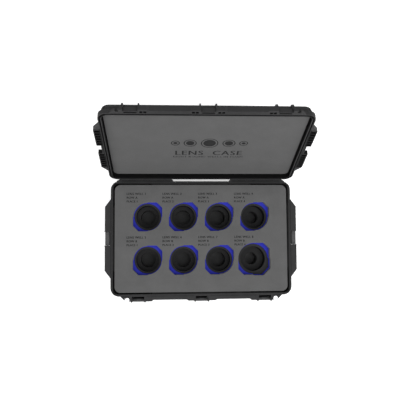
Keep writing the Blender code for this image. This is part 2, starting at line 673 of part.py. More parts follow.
# ---------------------------------------------------------------- front latches
# one moulded lever, hanging from its pin, with its hook at the free end
LATCH_PROFILE = ([(-254.0, LATCH_AXIS_Z), (-254.0, 144.0), (-257.0, 141.0),
                  (-269.0, 141.0), (-270.0, 142.5), (-270.0, 146.7),
                  (-263.0, 146.7), (-262.0, 148.0), (-262.0, 168.0), (-267.5, 173.5),
                  (-267.5, LATCH_AXIS_Z - 6.0)]
                 + arc(LATCH_AXIS_Y, LATCH_AXIS_Z, 7.0, 215, -35, 10))
for side, cx in LATCHES:
    latch = as_object("latch", profile_plate(LATCH_PROFILE, cx - LATCH_HALF,
                                             cx + LATCH_HALF))
    # finger recess across the lever's inner face
    cut(latch, box(cx - 19.0, cx + 19.0, -256.5, -250.0, 152.0, 186.0))
    cut(latch, cylinder((cx, LATCH_AXIS_Y, LATCH_AXIS_Z), LATCH_PIN_R + GAP, 80, "X", 12))
    clean(latch)
    finish(latch, "front_latch_" + side, material("latch_" + side, LATCH, 0.5),
           origin=(cx, LATCH_AXIS_Y, LATCH_AXIS_Z))
    pin = as_object("pin", cylinder((cx, LATCH_AXIS_Y, LATCH_AXIS_Z), LATCH_PIN_R,
                                    2 * (RIB_IN + RIB_T) - 1.0, "X", 12))
    finish(pin, "front_latch_pin_" + side, material("steel_pin_" + side, STEEL, 0.35, 1.0),
           origin=(cx, LATCH_AXIS_Y, LATCH_AXIS_Z))

# ---------------------------------------------------------------- end latches
AX, AZ = SIDE_AXIS_X, SIDE_AXIS_Z
END_LATCH = [(AX - 10.6, AZ - 4.5), (AX - 7.6, AZ - 7.5), (AX - 4.0, AZ - 9.0),
             (AX - 4.0, 181.0), (AX - 2.0, 179.0), (AX + 9.5, 179.0),
             (AX + 10.5, 180.2), (AX + 10.5, 184.7), (AX + 5.0, 184.7),
             (AX + 4.0, 186.0), (AX + 4.0, AZ - 9.0), (AX + 7.6, AZ - 7.5),
             (AX + 10.6, AZ - 4.5), (AX + 10.6, AZ + 4.5), (AX + 7.6, AZ + 7.5),
             (AX - 7.6, AZ + 7.5), (AX - 10.6, AZ + 4.5)]
for side, sx in (("left", -1), ("right", 1)):
    latch = as_object("latch", profile_plate_y([(sx * x, z) for x, z in END_LATCH],
                                               -SIDE_LATCH_HALF, SIDE_LATCH_HALF))
    cut(latch, cylinder((sx * AX, 0, AZ), LATCH_PIN_R + GAP, 80, "Y", 12))
    clean(latch)
    finish(latch, "end_latch_" + side, material("end_latch_mat_" + side, LATCH, 0.45),
           origin=(sx * AX, 0, AZ))
    pin = as_object("pin", cylinder((sx * AX, 0, AZ), LATCH_PIN_R,
                                    2 * (SIDE_RIB_IN + RIB_T) - 1.0, "Y", 12))
    finish(pin, "end_latch_pin_" + side, material("steel_end_" + side, STEEL, 0.35, 1.0),
           origin=(sx * AX, 0, AZ))

# ---------------------------------------------------------------- end handles


def bail(sx):
    """Tube bent to a U, hanging from its two pins."""
    r_bend = 16.0
    zb = HANDLE_AXIS_Z - HANDLE_DROP
    path = [(-HANDLE_HALF, HANDLE_AXIS_Z), (-HANDLE_HALF, zb + r_bend)]
    path += arc(-HANDLE_HALF + r_bend, zb + r_bend, r_bend, 180, 270, 4)[1:]
    path += arc(HANDLE_HALF - r_bend, zb + r_bend, r_bend, 270, 360, 4)
    path += [(HANDLE_HALF, HANDLE_AXIS_Z)]
    cu = bpy.data.curves.new("bail", "CURVE")
    cu.dimensions = "3D"
    cu.bevel_depth = HANDLE_R * MM
    cu.bevel_resolution = 2
    cu.use_fill_caps = True
    sp = cu.splines.new("POLY")
    sp.points.add(len(path) - 1)
    for p, (y, z) in zip(sp.points, path):
        p.co = (sx * HANDLE_AXIS_X * MM, y * MM, z * MM, 1.0)
    ob = bpy.data.objects.new("bail", cu)
    cutters.objects.link(ob)
    graph = bpy.context.evaluated_depsgraph_get()
    graph.update()
    me = bpy.data.meshes.new_from_object(ob.evaluated_get(graph))
    matrix = ob.matrix_world.copy()
    bpy.data.objects.remove(ob, do_unlink=True)
    bm = bmesh.new()
    bm.from_mesh(me)
    bmesh.ops.remove_doubles(bm, verts=bm.verts[:], dist=0.00001)
    bm.transform(matrix)
    return as_object("bail", bm)


for side, sx in (("left", -1), ("right", 1)):
    arm = bail(sx)
    for sy, end in ((-1, "front"), (1, "rear")):
        union(arm, cylinder((sx * HANDLE_AXIS_X, sy * HANDLE_HALF, HANDLE_AXIS_Z), 8.5,
                            10.5, "Y", 16))
    cut(arm, cylinder((sx * HANDLE_AXIS_X, 0, HANDLE_AXIS_Z), LATCH_PIN_R + GAP, 170,
                      "Y", 12))
    clean(arm)
    finish(arm, "end_handle_" + side, material("handle_" + side, SHELL, 0.5),
           origin=(sx * HANDLE_AXIS_X, 0, HANDLE_AXIS_Z))
    zb = HANDLE_AXIS_Z - HANDLE_DROP
    grip = as_object("grip", cylinder((sx * HANDLE_AXIS_X, 0, zb), 10.5, 84, "Y", 20))
    cut(grip, cylinder((sx * HANDLE_AXIS_X, 0, zb), HANDLE_R + 0.35, 120, "Y", 20))
    clean(grip)
    finish(grip, "end_handle_grip_" + side, material("grip_" + side, RUBBER, 0.75),
           origin=(sx * HANDLE_AXIS_X, 0, HANDLE_AXIS_Z))
    for sy, end in ((-1, "front"), (1, "rear")):
        pin = as_object("pin", cylinder((sx * HANDLE_AXIS_X, sy * 67.2, HANDLE_AXIS_Z),
                                        LATCH_PIN_R, 25.0, "Y", 12))
        finish(pin, "end_handle_pin_" + side + "_" + end,
               material("steel_handle_" + side + end, STEEL, 0.35, 1.0),
               origin=(sx * HANDLE_AXIS_X, sy * 67.2, HANDLE_AXIS_Z))

# ---------------------------------------------------------------- padlock eyelets
for side, sx in (("left", -1), ("right", 1)):
    z0, z1 = Z_PART - PART_GAP - 7.6, Z_PART - PART_GAP - 0.4
    ring = as_object("eyelet", cylinder((sx * EYE_X, EYE_Y, 0.5 * (z0 + z1)), EYELET_R,
                                        z1 - z0, "Z", 24))
    cut(ring, cylinder((sx * EYE_X, EYE_Y, z0), EYE_R, 60, "Z", 24))
    clean(ring)
    finish(ring, "base_eyelet_" + side,
           material("steel_eyelet_base_" + side, STEEL, 0.3, 1.0))

# ---------------------------------------------------------------- pressure valve
VX, VZ = 150.0, 120.0
face = -(BASE_IN_HY + WALL)
valve = as_object("valve", cylinder((VX, 0.5 * (face - GAP + face - 7.0), VZ), 14.0,
                                    7.0 - GAP, "Y", 28))
union(valve, cylinder((VX, 0.5 * (face - 3.0 + face + 4.5), VZ), 8.0, 7.5, "Y", 24))
cut(valve, cylinder((VX, face - 7.0, VZ), 5.0, 4.0, "Y", 16))
clean(valve)
finish(valve, "pressure_valve", material("valve", LATCH, 0.45))
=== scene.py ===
"""Looks for the open transport case with its foam insert.

Helper shapes are made in millimetres in the case's own frame and scaled to
metres. What belongs to the lid is made closed and then swung to its open rest.
"""
import json
import math
import random

import bmesh
import bpy
from mathutils import Matrix, Vector
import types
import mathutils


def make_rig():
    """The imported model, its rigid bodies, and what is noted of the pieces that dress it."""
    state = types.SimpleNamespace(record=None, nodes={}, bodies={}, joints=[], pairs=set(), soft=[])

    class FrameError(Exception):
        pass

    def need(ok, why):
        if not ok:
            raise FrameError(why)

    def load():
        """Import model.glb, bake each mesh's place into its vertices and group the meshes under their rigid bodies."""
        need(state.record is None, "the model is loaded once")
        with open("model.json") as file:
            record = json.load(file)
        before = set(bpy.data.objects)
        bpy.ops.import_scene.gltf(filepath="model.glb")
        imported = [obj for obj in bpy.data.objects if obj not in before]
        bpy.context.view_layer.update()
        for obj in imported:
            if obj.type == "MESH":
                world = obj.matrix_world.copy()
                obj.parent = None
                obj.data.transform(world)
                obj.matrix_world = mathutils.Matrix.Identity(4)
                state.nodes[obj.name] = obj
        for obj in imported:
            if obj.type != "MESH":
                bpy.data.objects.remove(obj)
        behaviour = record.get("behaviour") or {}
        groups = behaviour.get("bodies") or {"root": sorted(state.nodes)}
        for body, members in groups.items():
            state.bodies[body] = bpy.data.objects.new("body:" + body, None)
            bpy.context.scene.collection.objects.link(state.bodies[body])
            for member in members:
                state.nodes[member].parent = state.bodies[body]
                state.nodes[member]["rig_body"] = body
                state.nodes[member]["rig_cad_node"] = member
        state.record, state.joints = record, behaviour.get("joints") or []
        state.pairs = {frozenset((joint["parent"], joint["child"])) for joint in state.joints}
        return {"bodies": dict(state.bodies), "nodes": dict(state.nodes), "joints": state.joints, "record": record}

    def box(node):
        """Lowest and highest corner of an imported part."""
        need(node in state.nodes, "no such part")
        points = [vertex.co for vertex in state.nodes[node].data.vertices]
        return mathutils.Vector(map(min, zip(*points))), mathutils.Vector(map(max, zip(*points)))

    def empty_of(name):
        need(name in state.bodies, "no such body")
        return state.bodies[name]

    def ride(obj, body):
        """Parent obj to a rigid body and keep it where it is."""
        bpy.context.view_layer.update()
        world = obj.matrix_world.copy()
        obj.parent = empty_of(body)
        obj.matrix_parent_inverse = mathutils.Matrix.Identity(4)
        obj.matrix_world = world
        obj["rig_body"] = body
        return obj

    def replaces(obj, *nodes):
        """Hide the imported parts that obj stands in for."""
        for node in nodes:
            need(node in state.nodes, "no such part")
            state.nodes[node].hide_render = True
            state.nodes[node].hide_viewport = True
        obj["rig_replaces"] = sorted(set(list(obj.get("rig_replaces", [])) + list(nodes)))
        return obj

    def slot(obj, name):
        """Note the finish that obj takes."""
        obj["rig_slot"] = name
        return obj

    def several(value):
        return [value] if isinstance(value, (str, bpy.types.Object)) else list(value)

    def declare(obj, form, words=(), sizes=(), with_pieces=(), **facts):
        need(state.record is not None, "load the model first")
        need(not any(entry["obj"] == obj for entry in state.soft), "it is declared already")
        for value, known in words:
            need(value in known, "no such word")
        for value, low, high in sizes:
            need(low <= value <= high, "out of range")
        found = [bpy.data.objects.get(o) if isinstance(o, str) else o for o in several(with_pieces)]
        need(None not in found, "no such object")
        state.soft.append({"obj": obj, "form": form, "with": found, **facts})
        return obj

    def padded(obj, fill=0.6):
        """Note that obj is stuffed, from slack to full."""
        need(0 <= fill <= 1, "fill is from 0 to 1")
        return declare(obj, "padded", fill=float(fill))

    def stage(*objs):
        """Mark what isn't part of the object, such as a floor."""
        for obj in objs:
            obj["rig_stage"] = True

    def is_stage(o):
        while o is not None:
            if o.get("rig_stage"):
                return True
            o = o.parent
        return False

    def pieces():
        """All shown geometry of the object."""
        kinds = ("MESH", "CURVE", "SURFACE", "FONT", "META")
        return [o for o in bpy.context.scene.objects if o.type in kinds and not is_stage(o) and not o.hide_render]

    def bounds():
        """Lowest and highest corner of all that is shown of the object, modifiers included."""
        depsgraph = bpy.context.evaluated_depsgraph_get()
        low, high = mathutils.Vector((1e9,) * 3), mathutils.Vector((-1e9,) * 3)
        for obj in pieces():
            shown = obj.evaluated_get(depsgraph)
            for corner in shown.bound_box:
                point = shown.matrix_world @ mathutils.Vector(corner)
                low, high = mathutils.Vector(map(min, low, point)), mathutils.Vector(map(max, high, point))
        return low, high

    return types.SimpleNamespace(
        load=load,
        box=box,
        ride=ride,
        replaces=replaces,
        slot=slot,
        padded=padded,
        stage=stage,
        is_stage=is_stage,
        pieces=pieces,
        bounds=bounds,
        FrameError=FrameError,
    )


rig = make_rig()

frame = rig.load()
CAD_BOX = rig.bounds()
NODES = frame["nodes"]
MM = 0.001

# ---------------------------------------------------------------- sizes
FOAM_HX, FOAM_HY, FOAM_R = 365.0, 226.0, 24.0
Z_FOAM = 232.0
HINGE_Y, HINGE_Z = 253.5, 246.0
OPEN_DEG = 110.7
Z_PART = 234.0
LATCH_X = 267.5
WIDE = (223.0, -89.2)
SWING = (Matrix.Translation(Vector((0, HINGE_Y, HINGE_Z)) * MM)
         @ Matrix.Rotation(math.radians(-OPEN_DEG), 4, "X")
         @ Matrix.Translation(Vector((0, -HINGE_Y, -HINGE_Z)) * MM))

scene = bpy.context.scene
work = bpy.data.collections.new("work")
scene.collection.children.link(work)


# ---------------------------------------------------------------- mesh helpers
def put(name, bm):
    me = bpy.data.meshes.new(name)
    bmesh.ops.recalc_face_normals(bm, faces=bm.faces[:])
    bm.to_mesh(me)
    bm.free()
    ob = bpy.data.objects.new(name, me)
    scene.collection.objects.link(ob)
    return ob


def box(x0, x1, y0, y1, z0, z1):
    bm = bmesh.new()
    bmesh.ops.create_cube(bm, size=1.0)
    size = Vector((x1 - x0, y1 - y0, z1 - z0)) * MM
    mid = Vector((x0 + x1, y0 + y1, z0 + z1)) * (0.5 * MM)
    for v in bm.verts:
        v.co = Vector((v.co.x * size.x, v.co.y * size.y, v.co.z * size.z)) + mid
    return bm


def cylinder(centre, r, length, axis="Z", segments=48):
    bm = bmesh.new()
    bmesh.ops.create_cone(bm, cap_ends=True, segments=segments,
                          radius1=r * MM, radius2=r * MM, depth=length * MM)
    turn = {"Z": Matrix.Identity(3),
            "X": Matrix.Rotation(math.radians(90), 3, "Y"),
            "Y": Matrix.Rotation(math.radians(90), 3, "X")}[axis]
    for v in bm.verts:
        v.co = turn @ v.co + Vector(centre) * MM
    return bm


def join(bms):
    out = bmesh.new()
    for bm in bms:
        me = bpy.data.meshes.new("tmp")
        bm.to_mesh(me)
        bm.free()
        out.from_mesh(me)
        bpy.data.meshes.remove(me)
    return out


def evaluated(ob):
    graph = bpy.context.evaluated_depsgraph_get()
    graph.update()
    return bpy.data.meshes.new_from_object(ob.evaluated_get(graph))


def bake(ob):
    """Apply every modifier."""
    me = evaluated(ob)
    ob.modifiers.clear()
    old = ob.data
    ob.data = me
    bpy.data.meshes.remove(old)
    return ob


def boolean(ob, bm, operation="DIFFERENCE", mat=None):
    tool = put("tool", bm)
    if mat is not None:
        tool.data.materials.append(mat)
    mod = ob.modifiers.new("shape", "BOOLEAN")
    mod.operation = operation
    mod.solver = "EXACT"
    if mat is not None:
        mod.material_mode = "TRANSFER"
    mod.object = tool
    bake(ob)
    bpy.data.objects.remove(tool, do_unlink=True)
    return ob


def arc(cx, cy, r, a0, a1, n):
    return [(cx + r * math.cos(math.radians(a0 + (a1 - a0) * i / n)),
             cy + r * math.sin(math.radians(a0 + (a1 - a0) * i / n)))
            for i in range(n + 1)]


def rounded_rect(hx, hy, r, n=14, cx=0.0, cy=0.0):
    pts = arc(cx + hx - r, cy + hy - r, r, 0, 90, n)
    pts += arc(cx - hx + r, cy + hy - r, r, 90, 180, n)
    pts += arc(cx - hx + r, cy - hy + r, r, 180, 270, n)
    pts += arc(cx + hx - r, cy - hy + r, r, 270, 360, n)
    return pts


def prism(loops, z0, z1):
    """Flat sheet from outlines (the first outside, the rest holes), z0 to z1."""
    cu = bpy.data.curves.new("outline", "CURVE")
    cu.dimensions = "2D"
    cu.fill_mode = "BOTH"
    cu.extrude = 0.5 * (z1 - z0)
    for points in loops:
        sp = cu.splines.new("POLY")
        sp.points.add(len(points) - 1)
        for p, (x, y) in zip(sp.points, points):
            p.co = (x, y, 0.0, 1.0)
        sp.use_cyclic_u = True
    tmp = bpy.data.objects.new("outline", cu)
    work.objects.link(tmp)
    me = evaluated(tmp)
    bpy.data.objects.remove(tmp, do_unlink=True)
    bm = bmesh.new()
    bm.from_mesh(me)
    bpy.data.meshes.remove(me)
    bmesh.ops.remove_doubles(bm, verts=bm.verts[:], dist=0.004)
    bmesh.ops.dissolve_limit(bm, angle_limit=math.radians(0.4),
                             verts=bm.verts[:], edges=bm.edges[:])
    for v in bm.verts:
        v.co = Vector((v.co.x, v.co.y, v.co.z + 0.5 * (z0 + z1))) * MM
    bmesh.ops.recalc_face_normals(bm, faces=bm.faces[:])
    return bm


def plate_x(points, x0, x1):
    """Outline in (y, z), thick along x."""
    bm = prism([points], x0, x1)
    turn = Matrix(((0, 0, 1), (1, 0, 0), (0, 1, 0)))
    for v in bm.verts:
        v.co = turn @ v.co
    bmesh.ops.recalc_face_normals(bm, faces=bm.faces[:])
    return bm


def plate_y(points, y0, y1):
    """Outline in (x, z), thick along y."""
    bm = prism([points], y0, y1)
    for v in bm.verts:
        v.co = Vector((v.co.x, v.co.z, v.co.y))
    bmesh.ops.recalc_face_normals(bm, faces=bm.faces[:])
    return bm


def rounded(ob, width, segments=3, angle=35.0, apply=True):
    mod = ob.modifiers.new("edges", "BEVEL")
    mod.width = width * MM
    mod.segments = segments
    mod.limit_method = "ANGLE"
    mod.angle_limit = math.radians(angle)
    mod.use_clamp_overlap = True
    mod.harden_normals = False
    if apply:
        bake(ob)
    return ob


def smooth(ob, angle=32.0):
    ob.data.shade_smooth()
    ob.data.set_sharp_from_angle(angle=math.radians(angle))
    return ob


def dress(ob, mat, body, node=None, slot=None):
    """Give a piece its material, body, the node it stands for and its slot."""
    if mat is not None:
        ob.data.materials.clear()
        ob.data.materials.append(mat)
    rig.ride(ob, body)
    if node is not None:
        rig.replaces(ob, *([node] if isinstance(node, str) else node))
    if slot is not None:
        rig.slot(ob, slot)
    return ob


def text_mesh(words, size, depth, place, spacing=1.0, align="LEFT"):
    """Raised letters as a bmesh; place maps the letters' plane into the case."""
    cu = bpy.data.curves.new("words", "FONT")
    cu.body = words
    cu.size = size
    cu.extrude = depth
    cu.space_character = spacing
    cu.align_x = align
    cu.resolution_u = 3
    tmp = bpy.data.objects.new("words", cu)
    work.objects.link(tmp)
    me = evaluated(tmp)
    bpy.data.objects.remove(tmp, do_unlink=True)
    bm = bmesh.new()
    bm.from_mesh(me)
    bpy.data.meshes.remove(me)
    bmesh.ops.remove_doubles(bm, verts=bm.verts[:], dist=0.002)
    for v in bm.verts:
        v.co = place(v.co)
    return bm


# ---------------------------------------------------------------- materials
class Nodes:
    """Short names for building a node tree on object coordinates."""

    def __init__(self, name):
        self.mat = bpy.data.materials.new(name)
        self.mat.use_nodes = True
        self.tree = self.mat.node_tree
        self.bsdf = self.tree.nodes["Principled BSDF"]
        self.where = self.new("ShaderNodeTexCoord").outputs["Object"]

    def new(self, kind, **values):
        node = self.tree.nodes.new(kind)
        for key, value in values.items():
            setattr(node, key, value)
        return node

    def link(self, a, b):
        self.tree.links.new(a, b)

    def scaled(self, xyz):
        m = self.new("ShaderNodeMapping")
        m.inputs["Scale"].default_value = xyz
        self.link(self.where, m.inputs["Vector"])
        return m.outputs["Vector"]

    def noise(self, scale, detail=3.0, rough=0.5, vector=None):
        n = self.new("ShaderNodeTexNoise")
        n.inputs["Scale"].default_value = scale
        n.inputs["Detail"].default_value = detail
        n.inputs["Roughness"].default_value = rough
        self.link(vector or self.where, n.inputs["Vector"])
        return n.outputs["Fac"]

    def cells(self, scale, feature="F1", vector=None):
        n = self.new("ShaderNodeTexVoronoi")
        n.feature = feature
        n.inputs["Scale"].default_value = scale
        self.link(vector or self.where, n.inputs["Vector"])
        return n.outputs["Distance"]

    def ramp(self, fac, stops):
        r = self.new("ShaderNodeValToRGB")
        el = r.color_ramp.elements
        while len(el) < len(stops):
            el.new(0.5)
        for e, (pos, col) in zip(el, stops):
            e.position = pos
            e.color = (*col, 1.0) if len(col) == 3 else col
        self.link(fac, r.inputs["Fac"])
        return r.outputs["Color"]

    def range(self, fac, a, b, c, d):
        r = self.new("ShaderNodeMapRange")
        for i, v in enumerate((a, b, c, d), 1):
            r.inputs[i].default_value = v
        self.link(fac, r.inputs[0])
        return r.outputs[0]

    def math(self, op, a, b):
        m = self.new("ShaderNodeMath", operation=op)
        for i, v in enumerate((a, b)):
            if isinstance(v, (int, float)):
                m.inputs[i].default_value = v
            else:
                self.link(v, m.inputs[i])
        return m.outputs[0]

    def mix(self, fac, a, b, blend="MIX"):
        m = self.new("ShaderNodeMix", data_type="RGBA", blend_type=blend)
        for sock, v in ((m.inputs[0], fac), (m.inputs[6], a), (m.inputs[7], b)):
            if isinstance(v, (int, float)):
                sock.default_value = v
            elif isinstance(v, tuple):
                sock.default_value = (*v, 1.0)
            else:
                self.link(v, sock)
        return m.outputs[2]

    def bump(self, height, strength, distance, normal=None):
        b = self.new("ShaderNodeBump")
        b.inputs["Strength"].default_value = strength
        b.inputs["Distance"].default_value = distance
        self.link(height, b.inputs["Height"])
        if normal is not None:
            self.link(normal, b.inputs["Normal"])
        return b.outputs["Normal"]

    def painted_shade(self, distance, lo=0.25, hi=0.95, floor=0.25):
        """1 in the open, down to floor in grooves and gaps: the mask for painted shade."""
        a = self.new("ShaderNodeAmbientOcclusion", samples=8)
        a.inputs["Distance"].default_value = distance
        return self.range(a.outputs["AO"], lo, hi, floor, 1.0)

    def edges(self, width=0.0016):
        """1 along edges, 0 on open faces: a rounded normal beside the true one."""
        soft = self.new("ShaderNodeBevel", samples=6)
        soft.inputs["Radius"].default_value = width
        dot = self.new("ShaderNodeVectorMath", operation="DOT_PRODUCT")
        self.link(soft.outputs["Normal"], dot.inputs[0])
        self.link(self.new("ShaderNodeNewGeometry").outputs["Normal"], dot.inputs[1])
        return self.range(dot.outputs["Value"], 0.80, 0.985, 1.0, 0.0)

    def set(self, **sockets):
        for key, value in sockets.items():
            sock = self.bsdf.inputs[key.replace("_", " ")]
            if isinstance(value, (int, float)):
                sock.default_value = value
            elif isinstance(value, tuple):
                sock.default_value = (*value, 1.0) if len(value) == 3 else value
            else:
                self.link(value, sock)
        return self.mat


def plastic(name, base, rough=0.56, worn=1.7, specular=0.13, pebble=0.00022, deep=0.08,
            reach=0.018, inner=None, swung=False, pockets=None):
    """Moulded polypropylene: pebbled skin, soft colour drift, paler worn edges, and painted shade in grooves and gaps,
    out to reach, with deep the share of colour kept where it is darkest.

    inner gives half sizes and the lowest and highest z of the closed shell's inside, which sees little light and whose
    colour is darkened to near black as painted shade.
    pockets gives the same for the cells in the end valances: the nearest and farthest x, the half length and the
    lowest and highest z; these cells are darkened as painted shade.
    """
    n = Nodes(name)
    dark = tuple(0.9 * c for c in base)
    pale = tuple(1.12 * c for c in base)
    drift = n.ramp(n.noise(7.0, 3.0, 0.5), [(0.3, dark), (0.7, pale)])
    speck = n.noise(420.0, 2.0)
    colour = n.mix(n.range(speck, 0.42, 0.68, 0.0, 0.75), drift, tuple(1.45 * c for c in base))
    colour = n.mix(n.range(n.cells(520.0), 0.0, 0.35, 0.55, 0.0), colour,
                   tuple(0.6 * c for c in base))
    scuff = n.math("MULTIPLY", n.edges(), n.range(n.noise(60.0, 4.0), 0.35, 0.65, 0.15, 0.9))
    colour = n.mix(scuff, colour, tuple(worn * c + 0.004 for c in base))
    dust = n.range(n.noise(75.0, 6.0, 0.7), 0.55, 0.8, 0.0, 0.16)
    colour = n.mix(dust, colour, tuple(1.5 * c + 0.003 for c in base))
    # painted shade: grooves and gaps darkened towards black by ambient occlusion
    colour = n.mix(n.painted_shade(reach, 0.14, 0.84, deep), tuple(0.02 * c for c in base), colour)
    if inner is not None:
        place = n.new("ShaderNodeMapping")
        n.link(n.where, place.inputs["Vector"])
        if swung:
            turn = Matrix.Rotation(math.radians(OPEN_DEG), 3, "X")
            axis = Vector((0.0, HINGE_Y, HINGE_Z)) * MM
            place.inputs["Location"].default_value = axis - turn @ axis
            place.inputs["Rotation"].default_value = (math.radians(OPEN_DEG), 0.0, 0.0)
        split = n.new("ShaderNodeSeparateXYZ")
        n.link(place.outputs["Vector"], split.inputs[0])
        hx, hy, z0, z1 = (v * MM for v in inner)
        mask = n.math("LESS_THAN", n.math("ABSOLUTE", split.outputs[0], 0.0), hx)
        for op, socket, limit in (("LESS_THAN", n.math("ABSOLUTE", split.outputs[1], 0.0), hy),
                                  ("GREATER_THAN", split.outputs[2], z0),
                                  ("LESS_THAN", split.outputs[2], z1)):
            mask = n.math("MULTIPLY", mask, n.math(op, socket, limit))
        # painted shade: the closed shell's inside darkened to near black
        colour = n.mix(mask, colour, tuple(0.06 * c for c in base))
        if pockets is not None:
            x0, x1, hy, z0, z1 = (v * MM for v in pockets)
            across = n.math("ABSOLUTE", split.outputs[0], 0.0)
            mask = n.math("GREATER_THAN", across, x0)
            for op, socket, limit in (("LESS_THAN", across, x1),
                                      ("LESS_THAN", n.math("ABSOLUTE", split.outputs[1], 0.0), hy),
                                      ("GREATER_THAN", split.outputs[2], z0),
                                      ("LESS_THAN", split.outputs[2], z1)):
                mask = n.math("MULTIPLY", mask, n.math(op, socket, limit))
            # painted shade in the valance cells: full in a 4.1 mm band at their nearest end and from 3 mm above their
            # floor, less at the floor
            depth = n.math("MAXIMUM", n.math("LESS_THAN", across, x0 + 4.1 * MM),
                           n.range(split.outputs[2], z0 + 0.0012, z0 + 0.003, 0.6, 1.0))
            colour = n.mix(n.math("MULTIPLY", mask, depth), colour,
                           tuple(0.10 * c for c in base))
    height = n.math("ADD", n.math("MULTIPLY", n.cells(520.0), 0.8),
                    n.math("MULTIPLY", n.noise(1500.0, 2.0), 0.5))
    normal = n.bump(height, 0.75, pebble)
    roughness = n.range(n.noise(34.0, 4.0), 0.3, 0.7, rough - 0.07, rough + 0.08)
    return n.set(Base_Color=colour, Roughness=roughness, Normal=normal,
                 Specular_IOR_Level=specular)


def foam(name, base, rough=0.95, cell=1100.0, spread=0.10, specular=0.12, cut=False):
    """Closed-cell foam: fine cells, faint mottling, a matt skin."""
    n = Nodes(name)
    lo = tuple((1.0 - spread) * c for c in base)
    hi = tuple((1.0 + spread) * c for c in base)
    cloud = n.ramp(n.noise(14.0, 5.0, 0.62), [(0.3, lo), (0.7, hi)])
    grains = n.range(n.cells(cell), 0.05, 0.75, 0.0, 1.0)
    colour = n.mix(n.math("MULTIPLY", grains, 0.32 if cut else 0.24), cloud,
                   tuple(1.45 * c for c in base))
    pits = n.range(n.noise(cell * 0.45, 2.0), 0.58, 0.72, 0.0, 0.5)
    colour = n.mix(pits, colour, tuple(0.72 * c for c in base))
    height = n.math("ADD", n.cells(cell), n.math("MULTIPLY", n.noise(cell * 0.5, 3.0), 0.8))
    normal = n.bump(height, 0.6 if cut else 0.4, 0.00018)
    soft = n.bump(n.noise(22.0, 2.0), 0.08, 0.002, normal)
    roughness = n.range(grains, 0.0, 1.0, rough - 0.06, min(1.0, rough + 0.04))
    return n.set(Base_Color=colour, Roughness=roughness, Normal=soft,
                 Specular_IOR_Level=specular, Sheen_Weight=0.08 if base[0] > 0.05 else 0.0,
                 Sheen_Roughness=0.6)


def rubber(name, base, rough=0.72, specular=0.2):
    n = Nodes(name)
    colour = n.ramp(n.noise(45.0, 4.0, 0.6),
                    [(0.3, tuple(0.75 * c for c in base)), (0.75, tuple(1.5 * c for c in base))])
    normal = n.bump(n.noise(900.0, 3.0), 0.35, 0.00008)
    roughness = n.range(n.noise(80.0, 3.0), 0.3, 0.7, rough - 0.08, rough + 0.08)
    return n.set(Base_Color=colour, Roughness=roughness, Normal=normal,
                 Specular_IOR_Level=specular)


def steel(name, base=(0.50, 0.50, 0.51), rough=0.3, along=(1, 12, 12)):
    """Plated bar: fine drawn lines along it and a little staining."""
    n = Nodes(name)
    lines = n.noise(260.0, 4.0, 0.6, n.scaled(along))
    colour = n.ramp(n.noise(70.0, 4.0, 0.6),
                    [(0.25, tuple(0.72 * c for c in base)), (0.7, tuple(1.12 * c for c in base))])
    normal = n.bump(lines, 0.3, 0.00005)
    roughness = n.range(lines, 0.25, 0.75, rough - 0.1, rough + 0.14)
    return n.set(Base_Color=colour, Metallic=1.0, Roughness=roughness, Normal=normal)


# both shells get painted shade inside, and the lid also in the cells of its end valances
SHELL = plastic("moulded_shell", (0.0165, 0.0165, 0.0170), inner=(371.5, 232.5, 8.5, 300.0))
LID = plastic("moulded_lid", (0.0180, 0.0180, 0.0185), inner=(369.0, 230.5, 200.0, 281.0),
              swung=True, pockets=(380.5, 403.3, 141.0, 233.4, 249.0))
LATCH = plastic("latch_plastic", (0.025, 0.025, 0.0258), rough=0.46, specular=0.2)
# painted light: a lighter copy of the latch plastic for the end latches' upward faces
END_LATCH_LIT = plastic("end_latch_plastic", (0.047, 0.047, 0.0483), rough=0.46, specular=0.2)
HANDLE = plastic("handle_plastic", (0.022, 0.022, 0.0225), rough=0.48, specular=0.16)
VALVE = plastic("valve_plastic", (0.034, 0.034, 0.035), rough=0.42, specular=0.2)
GREY = foam("foam_grey", (0.0715, 0.0715, 0.0717))
GREY_CUT = foam("foam_grey_engraved", (0.007, 0.007, 0.0072), cut=True)
# painted shade: a darker copy of the grey foam for the lid pad
PAD_SHADE = foam("lid_foam_grey", (0.0515, 0.0515, 0.0516))
PAD_CUT = foam("lid_foam_engraved", (0.014, 0.014, 0.0143), cut=True)
BLUE = foam("foam_blue", (0.020, 0.024, 0.27), spread=0.07)
DARK = foam("foam_dark_ledge", (0.0255, 0.0255, 0.0259), specular=0.04)
# painted shade: a darker copy of the dark foam for the barrel walls
DARK_WALL_SHADE = foam("foam_dark_wall_painted_shade", (0.0115, 0.0115, 0.0119), specular=0.02, cut=True)
DARK_LOW = foam("foam_dark_low", (0.0225, 0.0225, 0.0229), specular=0.04)
# painted light: lighter copies of the dark foam for the mount bores and the floor pad, set against the shade deep in
# the wells
DARK_BORE_LIT = foam("foam_dark_bore_painted_light", (0.046, 0.046, 0.0468), specular=0.04, cut=True)
DARK_FLOOR_LIT = foam("foam_dark_floor_painted_light", (0.043, 0.043, 0.0436), specular=0.04)
RUBBER = rubber("seal_rubber", (0.0025, 0.0025, 0.0025), 0.85, 0.05)
GRIP = rubber("grip_rubber", (0.014, 0.014, 0.014), 0.62)
STEEL_X = steel("steel_bar_x", along=(1, 14, 14))
STEEL_Y = steel("steel_bar_y", along=(14, 1, 14))
STEEL_RING = steel("steel_ring", (0.62, 0.62, 0.63), 0.24, (6, 6, 1))

# ---------------------------------------------------------------- foam insert
R_TOP, R_ACCENT, R_BARREL, R_MOUNT = 59.5, 57.0, 49.0, 33.0
WELLS = []
for row, y in enumerate((92.0, -92.0)):
    for col in range(4):
        wide = row == 1 and col == 3
        x = (col - 1.5) * 152.0
        WELLS.append((*(WIDE if wide else (x, y)), wide, col == 3))


